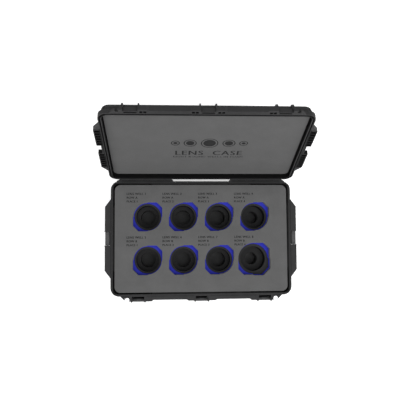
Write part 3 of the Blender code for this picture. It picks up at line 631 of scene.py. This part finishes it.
def well_outline(x, y, r, lobes, n=144):
    """Circle with square finger notches; a lobe is (sx, sy, half, chamfer)."""
    pts = []
    angles = set(360.0 * i / n for i in range(n))
    for sx, sy, h, c in lobes:
        for px, py in ((h, 0), (h, h - c), (h - c, h), (0, h)):
            angles.add(math.degrees(math.atan2(sy * py, sx * px)) % 360.0)
        t = math.degrees(math.acos(min(1.0, r / math.hypot(h, h))))
        angles.add(t)
    for a in sorted(angles):
        ca, sa = math.cos(math.radians(a)), math.sin(math.radians(a))
        d = r
        for sx, sy, h, c in lobes:
            u, v = ca * sx, sa * sy
            if u < -1e-9 or v < -1e-9:
                continue
            u, v = max(u, 1e-9), max(v, 1e-9)
            d = max(d, min(h / u, h / v, (2 * h - c) / (u + v)))
        p = (x + d * ca, y + d * sa)
        if not pts or math.hypot(p[0] - pts[-1][0], p[1] - pts[-1][1]) > 0.15:
            pts.append(p)
    return pts


def sheet(name, z0, z1, holes, edge, inset=0.0):
    bm = prism([rounded_rect(FOAM_HX - inset, FOAM_HY - inset, FOAM_R - inset)] + holes, z0, z1)
    ob = put(name, bm)
    rounded(ob, edge, 3, 60.0)
    return ob


top_holes, blue_holes, barrel_holes, mount_holes = [], [], [], []
for x, y, wide, deep in WELLS:
    h = 67.5 if wide else 62.0
    lobes = [(1, 1, h, 23.5), (-1, -1, h, 23.5)]
    if wide:
        lobes.append((1, -1, 70.5, 30.0))
    top_holes.append(well_outline(x, y, 67.5 if wide else R_TOP, lobes))
    blue_holes.append(well_outline(x, y, 64.0 if wide else R_ACCENT,
                                   [(1, -1, 67.5, 30.0)] if wide else []))
    barrel_holes.append(arc(x, y, R_BARREL + (4.0 if wide else 0.0), 0, 357.5, 143))
    mount_holes.append(arc(x, y, R_MOUNT - (6.0 if deep else 0.0), 0, 357.0, 119))

top = sheet("foam_top", 202.0, Z_FOAM, top_holes, 1.2)


def foam_place(x, y, deep):
    return lambda co: Vector((x + co.x, y + co.y, Z_FOAM - deep + co.z + 1.5)) * MM


LABEL_X = (-316.0, -165.5, -14.5, 139.5)
FOAM_DEPTHS = (0.90, 0.94)
# each line is cut twice, a little to the left and right, for a broad stroke
for shift, deep in zip((-0.42, 0.42), FOAM_DEPTHS):
    number = 0
    cuts = []
    for row, (letter, y) in enumerate((("A", 188.7), ("B", 4.5))):
        for col in range(4):
            number += 1
            for k, (words, size) in enumerate(((f"LENS WELL {number}", 13.2),
                                               (f"ROW {letter}", 12.8),
                                               (f"PLACE {col + 1}", 12.2))):
                cuts.append(text_mesh(words, size, 1.5,
                                      foam_place(LABEL_X[col] + shift, y - 4.6 - 16.0 * k, deep),
                                      1.08))
    boolean(top, join(cuts), mat=GREY_CUT)
top.data.materials.clear()
top.data.materials.append(GREY)
top.data.materials.append(GREY_CUT)
for poly in top.data.polygons:
    sunk = all(any(abs(top.data.vertices[i].co.z - (Z_FOAM - d) * MM) < 1.5e-5
                   for d in FOAM_DEPTHS) for i in poly.vertices)
    poly.material_index = 1 if sunk and abs(poly.normal.z) > 0.9 else 0
smooth(top)
dress(top, None, "base", "foam_top_layer", "foam_grey")


def walls(ob, flat_mat, wall_mat):
    """Cut walls, rounded edges too, are rougher than the flat skin of a sheet and take a copy of the foam in painted
    shade or painted light.
    """
    ob.data.materials.clear()
    ob.data.materials.append(flat_mat)
    ob.data.materials.append(wall_mat)
    for poly in ob.data.polygons:
        poly.material_index = 0 if abs(poly.normal.z) > 0.97 else 1


accent = smooth(sheet("foam_accent", 190.0, 201.7, blue_holes, 0.8, 8.0))
dress(accent, BLUE, "base", "foam_accent_layer", "foam_blue")
core_a = smooth(sheet("foam_core_barrels", 136.7, 189.7, barrel_holes, 2.2))
# barrel walls and their rounded top edge in painted shade
walls(core_a, DARK, DARK_WALL_SHADE)
dress(core_a, None, "base", "foam_core_upper", "foam_dark")
core_b = smooth(sheet("foam_core_mounts", 57.0, 136.4, mount_holes, 1.0))
# mount bore walls in painted light
walls(core_b, DARK_LOW, DARK_BORE_LIT)
dress(core_b, None, "base", "foam_core_lower", "foam_dark")
floor_pad = smooth(sheet("foam_bottom", 9.3, 56.7, [], 1.5))
# the floor pad in painted light
dress(floor_pad, DARK_FLOOR_LIT, "base", "foam_floor_pad", "foam_dark")

# ---------------------------------------------------------------- lid pad
Z_PAD = Z_PART + 17.0
pad = put("lid_pad", prism([rounded_rect(FOAM_HX, FOAM_HY, 22.0, 16)], Z_PAD, 279.7))
bm = bmesh.new()
bm.from_mesh(pad.data)
front = [e for e in bm.edges if max(v.co.z for v in e.verts) < (Z_PAD + 0.1) * MM]
bmesh.ops.bevel(bm, geom=front, offset=3.2 * MM, segments=4, affect="EDGES", profile=0.5)
back = [e for e in bm.edges if min(v.co.z for v in e.verts) > 279.6 * MM
        and len(e.link_faces) == 2 and e.calc_face_angle(0) > 1.0]
bmesh.ops.bevel(bm, geom=back, offset=15.0 * MM, segments=4, affect="EDGES", profile=0.5)
bm.to_mesh(pad.data)
bm.free()

DEEP = 1.1
PAD_DEPTHS = (DEEP, DEEP + 0.04)
EMBLEM_X = 18.0


def pad_place(x, y, deep=DEEP):
    """Letters read from the open side: their up runs to the lid's front edge."""
    return lambda co: Vector((x + co.x, y - co.y, Z_PAD + deep - 1.5 - co.z)) * MM


def flat(loops):
    bm = prism(loops, -1.5, 1.5)
    place = pad_place(0.0, 0.0)
    for v in bm.verts:
        co = v.co / MM
        v.co = Vector((co.x, co.y, Z_PAD + DEEP - 1.5 - co.z)) * MM
    bmesh.ops.recalc_face_normals(bm, faces=bm.faces[:])
    return bm


def ring(cx, cy, r0, r1):
    return [arc(cx, cy, r1, 0, 356.25, 95)] + ([arc(cx, cy, r0, 0, 356.25, 95)] if r0 else [])


marks = []
for dx, r in ((0.0, 33.0), (-74.0, 25.0), (74.0, 25.0), (-130.0, 17.0), (130.0, 17.0)):
    cx, cy = EMBLEM_X + dx, -22.0
    marks += [flat(ring(cx, cy, r - 4.0, r)), flat(ring(cx, cy, 0.0, r - 9.0))]
boolean(pad, join(marks), mat=PAD_CUT)
for shift, deep in zip((-1.0, 1.0), PAD_DEPTHS):
    marks = [text_mesh("LENS  CASE", 46.0, 1.5, pad_place(EMBLEM_X + shift, 66.0, deep), 1.14,
                       "CENTER"),
             text_mesh("EIGHT ROUND WELLS IN FOAM", 16.5, 1.5,
                       pad_place(EMBLEM_X + 0.45 * shift, 86.0, deep), 1.2, "CENTER")]
    boolean(pad, join(marks), mat=PAD_CUT)
pad.data.materials.clear()
pad.data.materials.append(PAD_SHADE)
pad.data.materials.append(PAD_CUT)
for poly in pad.data.polygons:
    sunk = all(any(abs(pad.data.vertices[i].co.z - (Z_PAD + d) * MM) < 1.5e-5
                   for d in PAD_DEPTHS) for i in poly.vertices)
    poly.material_index = 1 if sunk and abs(poly.normal.z) > 0.9 else 0
pad.data.transform(SWING)
smooth(pad)
dress(pad, None, "lid", "lid_foam_pad", "foam_grey")

for ob, fill in ((top, 1.0), (accent, 1.0), (core_a, 1.0), (core_b, 1.0), (floor_pad, 1.0),
                 (pad, 1.0)):
    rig.padded(ob, fill)

# ---------------------------------------------------------------- latches in detail
PIN_BORE = 3.3
AXIS_Y, AXIS_Z = -258.0, 200.0


def half_ring(cy, cz, r0, r1):
    return arc(cy, cz, r1, -25, 205, 20) + arc(cy, cz, r0, 205, -25, 20)


def front_latch(side, cx):
    """Hanging lever: ribbed thumb part, hook, finger recess, ringed barrel."""
    profile = ([(-254.0, 195.4), (-254.0, 144.0), (-257.0, 141.0), (-269.0, 141.0),
                (-270.0, 142.5), (-270.0, 146.7), (-263.0, 146.7), (-262.0, 148.0),
                (-262.0, 168.0), (-267.5, 173.5), (-267.5, 194.0)]
               + arc(AXIS_Y, AXIS_Z, 7.0, 215, -35, 26))
    ob = put("lever_" + side, plate_x(profile, cx - 25.4, cx + 25.4))
    # thumb grooves
    cut = [box(cx - 20.5, cx + 20.5, -268.6, -266.6, z - 0.9, z + 0.9)
           for z in (177.0, 180.6, 184.2, 187.8, 191.4)]
    boolean(ob, join(cut))
    # shallow finger recess with deeper slots in it, on the face that shows when shut
    boolean(ob, box(cx - 20.0, cx + 20.0, -255.1, -250.0, 152.0, 187.0))
    boolean(ob, join([box(cx - 17.5, cx + 17.5, -256.6, -251.0, z - 1.5, z + 1.5)
                      for z in (156.0, 161.0, 166.0, 171.0, 176.0, 181.0)]))
    # rings round the barrel, and lightening pockets in the hook's lower side
    boolean(ob, join([plate_x(half_ring(AXIS_Y, AXIS_Z, 5.9, 8.0), cx + d - 1.1, cx + d + 1.1)
                      for d in (-18.5, -14.0, 14.0, 18.5)]))
    boolean(ob, join([box(cx + d - 5.0, cx + d + 5.0, -267.5, -258.5, 139.5, 143.4)
                      for d in (-17.0, -5.7, 5.7, 17.0)]))
    boolean(ob, cylinder((cx, AXIS_Y, AXIS_Z), PIN_BORE, 80, "X", 32))
    rounded(ob, 0.5, 2, 30.0)
    smooth(ob)
    return dress(ob, LATCH, "front_latch_%s_lever" % side, "front_latch_" + side, "latch")


def end_latch(side, sx):
    """Shorter, wider lever on an end wall."""
    ax, az = 395.0, 219.0
    profile = [(ax - 10.6, az - 4.5), (ax - 7.6, az - 7.5), (ax - 4.0, az - 9.0),
               (ax - 4.0, 181.0), (ax - 2.0, 179.0), (ax + 9.5, 179.0), (ax + 10.5, 180.2),
               (ax + 10.5, 184.7), (ax + 5.0, 184.7), (ax + 4.0, 186.0), (ax + 4.0, az - 9.0),
               (ax + 7.6, az - 7.5), (ax + 10.6, az - 4.5), (ax + 10.6, az + 4.5),
               (ax + 7.6, az + 7.5), (ax - 7.6, az + 7.5), (ax - 10.6, az + 4.5)]
    ob = put("lever_end_" + side, plate_y([(sx * x, z) for x, z in profile], -27.8, 27.8))

    def slab(x0, x1, y0, y1, z0, z1):
        return box(min(sx * x0, sx * x1), max(sx * x0, sx * x1), y0, y1, z0, z1)

    # grooves across the outer face, slots in the inner one, pockets along the head
    boolean(ob, join([slab(398.1, 400.5, -22.0, 22.0, z - 0.9, z + 0.9)
                      for z in (191.0, 195.0, 199.0, 203.0)]))
    boolean(ob, join([slab(388.0, 392.3, -20.0, 20.0, z - 1.5, z + 1.5)
                      for z in (187.0, 192.0, 197.0, 202.0)]))
    boolean(ob, join([slab(388.2, 401.8, y - 2.9, y + 2.9, 225.3, 228.0)
                      for y in (-20.0, -12.0, -4.0, 4.0, 12.0, 20.0)]))
    boolean(ob, cylinder((sx * ax, 0, az), PIN_BORE, 80, "Y", 32))
    rounded(ob, 0.5, 2, 30.0)
    smooth(ob)
    return dress(ob, END_LATCH_LIT, "end_latch_%s_lever" % side, "end_latch_" + side, "latch")


# ---------------------------------------------------------------- handles and valve
def turned_y(name, profile, cx, cz, segments=56):
    """Closed outline (y, r) turned about an axis along y."""
    bm = bmesh.new()
    rings = []
    for i in range(segments):
        a = 2.0 * math.pi * i / segments
        rings.append([bm.verts.new(Vector((cx + r * math.cos(a), y, cz + r * math.sin(a))) * MM)
                      for y, r in profile])
    for i in range(segments):
        one, two = rings[i], rings[(i + 1) % segments]
        for k in range(len(profile)):
            j = (k + 1) % len(profile)
            bm.faces.new((one[k], one[j], two[j], two[k]))
    return put(name, bm)


def turned(name, profile, centre, axis, segments=40):
    """Closed outline (t, r) turned about the x, y or z axis through centre, in mm."""
    bm = bmesh.new()
    rings = []
    for i in range(segments):
        a = 2.0 * math.pi * i / segments
        ring = []
        for t, r in profile:
            u, v = r * math.cos(a), r * math.sin(a)
            co = {0: (t, u, v), 1: (u, t, v), 2: (u, v, t)}[axis]
            ring.append(bm.verts.new((Vector(centre) + Vector(co)) * MM))
        rings.append(ring)
    for i in range(segments):
        one, two = rings[i], rings[(i + 1) % segments]
        for k in range(len(profile)):
            j = (k + 1) % len(profile)
            if profile[k][1] > 0.0 or profile[j][1] > 0.0:
                bm.faces.new((one[k], one[j], two[j], two[k]))
    bmesh.ops.remove_doubles(bm, verts=bm.verts[:], dist=0.000001)
    bmesh.ops.dissolve_degenerate(bm, dist=0.000001, edges=bm.edges[:])
    return put(name, bm)


def pin(node, mat):
    """Plated pin with domed ends and a ring groove near each of them."""
    lo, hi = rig.box(node)
    size = [(b - a) / MM for a, b in zip(lo, hi)]
    axis = size.index(max(size))
    h = 0.5 * size[axis]
    r = 0.5 * min(size)
    end = [(0.0, 0.0), (0.0, 0.45 * r), (0.35, 0.78 * r), (0.9, 0.95 * r), (1.5, r),
           (2.4, r), (2.7, r - 0.5), (3.5, r - 0.5), (3.8, r)]
    profile = [(-h + t, q) for t, q in end] + [(h - t, q) for t, q in reversed(end)]
    centre = [0.5 * (a + b) / MM for a, b in zip(lo, hi)]
    ob = smooth(turned(node + "_turned", profile, centre, axis), 40.0)
    return dress(ob, mat, "base", node, "steel")


def eyelet(side):
    """Pressed steel ring with a rolled lip on the side that shows."""
    lo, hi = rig.box("base_eyelet_" + side)
    x, y = 0.5 * (lo.x + hi.x) / MM, 0.5 * (lo.y + hi.y) / MM
    z0, z1 = lo.z / MM, hi.z / MM
    r0, r1 = 6.6, 10.0
    lip = [(z1 - 0.9, r1), (z1 - 0.35, r1 - 0.15), (z1, r1 - 0.8), (z1, r1 - 1.3),
           (z1 - 0.35, r1 - 1.7), (z1 - 0.35, r0 + 1.2), (z1 - 0.1, r0 + 0.8), (z1 - 0.15, r0 + 0.3),
           (z1 - 0.7, r0)]
    profile = [(z0 + 0.5, r0), (z0, r0 + 0.5), (z0, r1 - 0.5), (z0 + 0.5, r1)] + lip
    ob = smooth(turned("eyelet_" + side, profile, (x, y, 0.0), 2, 64), 50.0)
    return dress(ob, STEEL_RING, "base", "base_eyelet_" + side, "steel")


def grip(side, sx):
    """Rubber sleeve with round ribs between two collars."""
    outer = [(-42.0, 9.7), (-41.3, 10.4), (-37.6, 10.4)]
    y = -37.0
    while y < 36.5:
        outer += [(y, 9.35), (y + 0.5, 9.1), (y + 1.1, 9.1), (y + 1.6, 9.35), (y + 2.2, 10.1),
                  (y + 3.0, 10.35), (y + 4.0, 10.35), (y + 4.8, 10.1)]
        y += 5.3
    outer += [(37.9, 10.4), (41.3, 10.4), (42.0, 9.7)]
    profile = [(-42.0, 7.4)] + outer + [(42.0, 7.4)]
    ob = smooth(turned_y("grip_" + side, profile, sx * 389.0, 100.0), 40.0)
    return dress(ob, GRIP, "end_handle_%s_bail" % side, "end_handle_grip_" + side, "rubber")


def bail(side, sx):
    """Round bar bent to a U with a boss at each end."""
    x, top_z, low_z, half, bend = sx * 389.0, 160.0, 100.0, 60.0, 16.0
    path = [(-half, top_z), (-half, low_z + bend)]
    path += arc(-half + bend, low_z + bend, bend, 180, 270, 12)[1:]
    path += arc(half - bend, low_z + bend, bend, 270, 360, 12)
    path += [(half, top_z)]
    cu = bpy.data.curves.new("bail", "CURVE")
    cu.dimensions = "3D"
    cu.bevel_depth = 6.95 * MM
    cu.bevel_resolution = 8
    cu.use_fill_caps = True
    sp = cu.splines.new("POLY")
    sp.points.add(len(path) - 1)
    for p, (y, z) in zip(sp.points, path):
        p.co = (x * MM, y * MM, z * MM, 1.0)
    tmp = bpy.data.objects.new("bail", cu)
    work.objects.link(tmp)
    me = evaluated(tmp)
    bpy.data.objects.remove(tmp, do_unlink=True)
    bm = bmesh.new()
    bm.from_mesh(me)
    bpy.data.meshes.remove(me)
    bmesh.ops.remove_doubles(bm, verts=bm.verts[:], dist=0.00001)
    ob = put("bail_" + side, bm)
    for y in (-half, half):
        boolean(ob, cylinder((x, y, top_z), 8.5, 10.5, "Y", 40), "UNION")
        boolean(ob, join([cylinder((x, y + 5.2, top_z), 5.4, 1.6, "Y", 32),
                          cylinder((x, y - 5.2, top_z), 5.4, 1.6, "Y", 32)]))
    boolean(ob, cylinder((x, 0, top_z), PIN_BORE, 170, "Y", 32))
    smooth(ob, 35.0)
    return dress(ob, HANDLE, "end_handle_%s_bail" % side, "end_handle_" + side, "handle")


def vent():
    """Pressure valve: knurled cap with a slotted centre, screwed into the wall."""
    cx, cz = 150.0, 120.0
    ob = put("valve_cap", cylinder((cx, -239.15, cz), 13.9, 6.7, "Y", 72))
    rounded(ob, 1.1, 3, 40.0)
    boolean(ob, cylinder((cx, -236.0, cz), 8.0, 9.0, "Y", 48), "UNION")
    boolean(ob, join([cylinder((cx + 14.3 * math.cos(a), -241.6, cz + 14.3 * math.sin(a)), 1.15,
                               5.0, "Y", 12)
                      for a in (2.0 * math.pi * i / 24 for i in range(24))]))
    boolean(ob, cylinder((cx, -242.5, cz), 8.2, 3.0, "Y", 48))
    boolean(ob, cylinder((cx, -241.6, cz), 5.4, 1.6, "Y", 40), "UNION")
    boolean(ob, box(cx - 4.2, cx + 4.2, -243.0, -241.4, cz - 0.8, cz + 0.8))
    smooth(ob)
    return dress(ob, VALVE, "base", "pressure_valve", "valve")


for side, cx in (("left", -LATCH_X), ("centre", 0.0), ("right", LATCH_X)):
    front_latch(side, cx)
for side, sx in (("left", -1), ("right", 1)):
    end_latch(side, sx)
    grip(side, sx)
    bail(side, sx)
vent()
for side in ("left", "right"):
    pin("hinge_pin_" + side, STEEL_X)
    pin("end_latch_pin_" + side, STEEL_Y)
    eyelet(side)
    for end in ("front", "rear"):
        pin("end_handle_pin_%s_%s" % (side, end), STEEL_Y)
for side in ("left", "centre", "right"):
    pin("front_latch_pin_" + side, STEEL_X)

# ---------------------------------------------------------------- CAD pieces kept
def keep(name, mat, width=0.0, segments=2, angle=32.0):
    ob = NODES[name]
    ob.data.materials.clear()
    ob.data.materials.append(mat)
    ob.data.shade_smooth()
    ob.data.set_sharp_from_angle(angle=math.radians(angle))
    if width:
        rounded(ob, width, segments, 40.0, apply=False)
    return ob


keep("base_shell", SHELL, 0.8)
keep("lid_shell", LID, 0.8)
keep("lid_seal", RUBBER, 0.6)

# ---------------------------------------------------------------- stage
bm = bmesh.new()
bmesh.ops.create_grid(bm, x_segments=1, y_segments=1, size=60.0)
ground = put("floor", bm)
n = Nodes("pale_floor")
ground.data.materials.append(n.set(
    Base_Color=n.ramp(n.noise(1.5, 3.0), [(0.3, (0.95, 0.95, 0.95)), (0.7, (0.97, 0.97, 0.97))]),
    Roughness=0.9, Specular_IOR_Level=0.1, Emission_Color=(1.0, 1.0, 1.0),
    Emission_Strength=0.3))
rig.stage(ground)


def area(name, place, target, size, power, colour=(1.0, 1.0, 1.0)):
    light = bpy.data.lights.new(name, "AREA")
    light.shape = "RECTANGLE"
    light.size, light.size_y = size
    light.energy = power
    light.color = colour
    ob = bpy.data.objects.new(name, light)
    scene.collection.objects.link(ob)
    ob.location = place
    ob.rotation_euler = (Vector(target) - Vector(place)).to_track_quat("-Z", "Y").to_euler()
    return ob


area("key", (0.5, -0.8, 3.4), (0.0, 0.1, 0.2), (2.4, 2.4), 84.0)
area("fill", (-2.2, -1.2, 2.6), (0.0, 0.1, 0.3), (2.0, 2.0), 28.0)
area("front", (0.6, -3.0, 2.6), (0.0, 0.3, 0.6), (2.4, 1.4), 5.0)
lamp = bpy.data.lights.new("upper_right", "SPOT")
lamp.energy = 120.0
lamp.spot_size = math.radians(34.0)
lamp.spot_blend = 1.0
lamp.shadow_soft_size = 0.35
spot = bpy.data.objects.new("upper_right", lamp)
scene.collection.objects.link(spot)
spot.location = (1.0, -2.1, 1.9)
spot.rotation_euler = (Vector((0.10, 0.42, 0.66)) - spot.location).to_track_quat("-Z", "Y").to_euler()
world = bpy.data.worlds.new("studio")
world.use_nodes = True
world.node_tree.nodes["Background"].inputs["Color"].default_value = (1.0, 1.0, 1.0, 1.0)
world.node_tree.nodes["Background"].inputs["Strength"].default_value = 0.74
scene.world = world
scene.view_settings.view_transform = "Standard"

# ---------------------------------------------------------------- camera
cam = bpy.data.cameras.new("camera")
cam.sensor_width = 36.0
cam.lens = 48.312
cam.clip_start, cam.clip_end = 0.05, 50.0
eye = bpy.data.objects.new("camera", cam)
scene.collection.objects.link(eye)
eye.location = (-0.13103, -0.03569, 2.59722)
eye.rotation_euler = (0.0693238, -0.0666698, -0.0075964)
scene.camera = eye

bpy.data.collections.remove(work)


def plain(b):
    return [[float(c) for c in p] for p in b]


try:
    with open("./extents.json", "w") as f:
        json.dump({"cad": plain(CAD_BOX), "visual": plain(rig.bounds())}, f)
except (OSError, TypeError) as problem:
    print("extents.json wasn't written:", problem)
